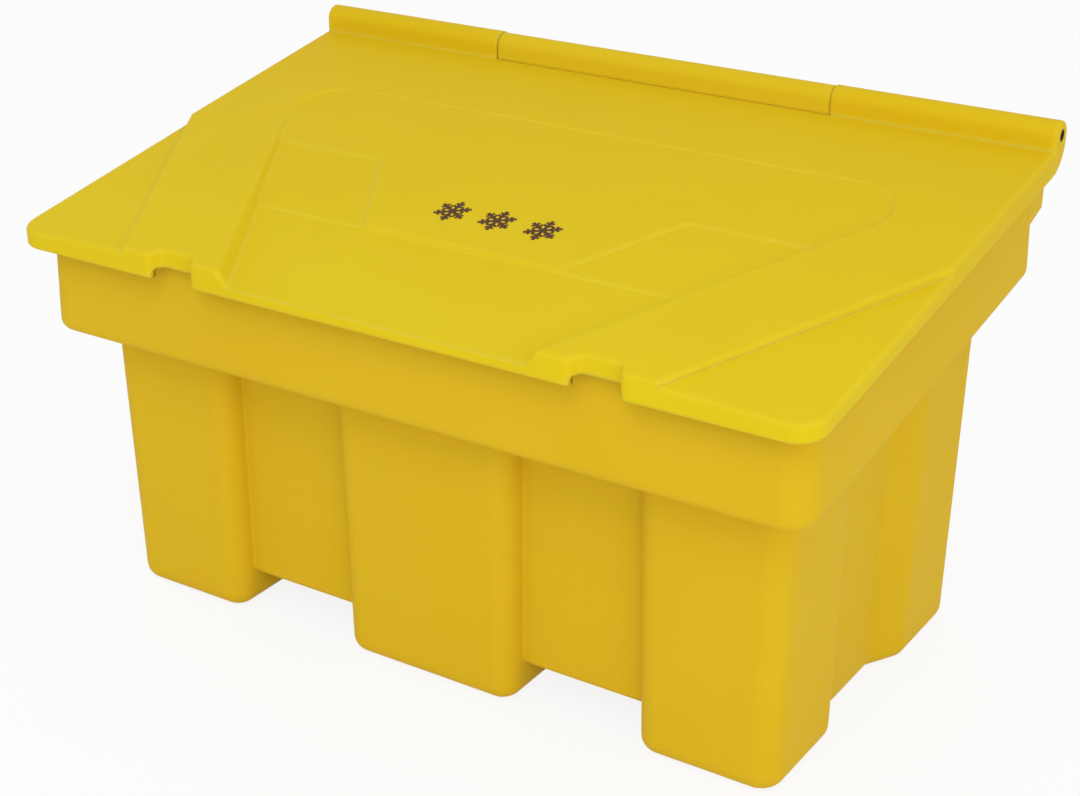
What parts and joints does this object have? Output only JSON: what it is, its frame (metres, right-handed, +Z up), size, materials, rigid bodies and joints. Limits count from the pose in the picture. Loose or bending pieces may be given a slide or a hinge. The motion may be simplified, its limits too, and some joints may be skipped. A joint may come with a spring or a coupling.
{
  "type": "grit salt bin",
  "caption": "Lidded grit and salt bin: a tapered moulded body on three feet with fork channels, under a sloping hinged lid that turns on a rear rod.",
  "frame": {"origin": "on the ground under the middle foot, midway between the body's sides and between its front and rear feet", "axes": "+X to the right along the hinge, +Y to the back, where the hinge is, +Z up"},
  "size_m": [1, 0.6096, 0.608],
  "materials": {
    "body_plastic": "satin moulded polyethylene, yellow",
    "lid_plastic": "satin moulded polyethylene, yellow",
    "rod_steel": "drawn bar",
    "plug_plastic": "dark moulded plastic"
  },
  "bodies": {
    "bin": {"bin_body": "body_plastic"},
    "lid_group": {"lid": "lid_plastic", "hinge_rod": "rod_steel", "rod_plug_left": "plug_plastic", "rod_plug_right": "plug_plastic"}
  },
  "joints": [
    {"name": "lid_hinge", "type": "hinge", "parent": "bin", "child": "lid_group", "pos_m": [0, 0.2812, 0.592], "axis": [-1, 0, 0], "range_deg": [0, 260]}
  ]
}
